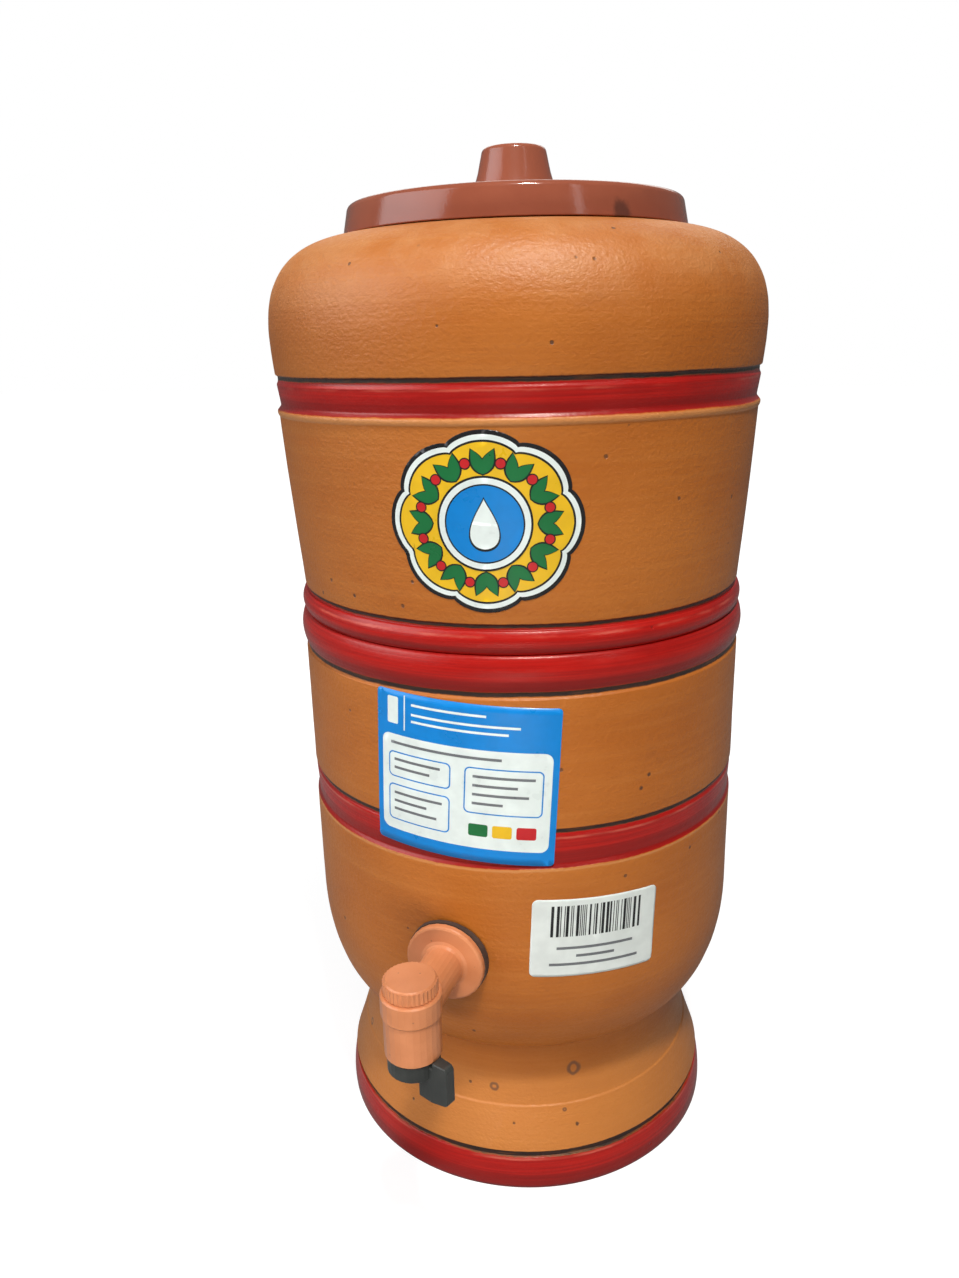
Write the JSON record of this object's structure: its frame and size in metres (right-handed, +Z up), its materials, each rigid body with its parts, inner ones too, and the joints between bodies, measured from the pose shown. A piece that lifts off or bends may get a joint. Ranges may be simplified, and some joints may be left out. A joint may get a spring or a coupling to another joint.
{
  "type": "clay water filter",
  "caption": "Round clay water filter: an upper vessel with a ceramic candle stands on a footed lower vessel with a plug tap, under a plastic lid with a hollow knob.",
  "frame": {"origin": "on the ground, under the middle of the whole object's box; the axis of both vessels stands at y = +0.0196", "axes": "+Z up along the vessels' axis, -Y out along the tap, +X to the right of someone who faces the tap"},
  "size_m": [0.188, 0.2272, 0.3961],
  "materials": {
    "painted_clay": "turned earthenware with satin ochre paint and glossier red bands",
    "brown_plastic": "glossy red-brown",
    "candle_ceramic": "chalky unglazed white",
    "white_plastic": "plain white",
    "terracotta_plastic": "satin terracotta",
    "black_plastic": "satin black",
    "brown_rubber": "dull dark brown",
    "black_rubber": "dull black",
    "steel": "plain bright"
  },
  "bodies": {
    "lower_body": {"lower_vessel": "painted_clay", "lower_foot": "painted_clay", "tap_body": "terracotta_plastic", "tap_cap": "terracotta_plastic", "cap_gasket": "black_rubber", "tap_outer_gasket": "brown_rubber", "tap_inner_gasket": "brown_rubber", "tap_nut": "terracotta_plastic"},
    "upper_body": {"upper_vessel": "painted_clay", "upper_shoulder": "painted_clay", "mouth_ring": "painted_clay", "candle_shell": "candle_ceramic", "candle_base": "white_plastic", "candle_upper_washer": "black_rubber", "candle_lower_washer": "black_rubber", "candle_nut": "white_plastic"},
    "lid_body": {"lid": "brown_plastic"},
    "plug_body": {"tap_plug": "black_plastic", "plug_upper_ring": "black_rubber", "plug_lower_ring": "black_rubber", "plug_spring": "steel", "plug_washer": "steel", "plug_screw": "steel"}
  },
  "joints": [
    {"name": "upper_lift", "type": "slide", "parent": "lower_body", "child": "upper_body", "axis": [0, 0, 1], "range_m": [0, 0.045]},
    {"name": "lid_lift", "type": "slide", "parent": "upper_body", "child": "lid_body", "axis": [0, 0, 1], "range_m": [0, 0.03]},
    {"name": "lever_turn", "type": "hinge", "parent": "lower_body", "child": "plug_body", "pos_m": [0, -0.10293, 0.095], "axis": [0, 0, -1], "range_deg": [-20, 70]}
  ]
}
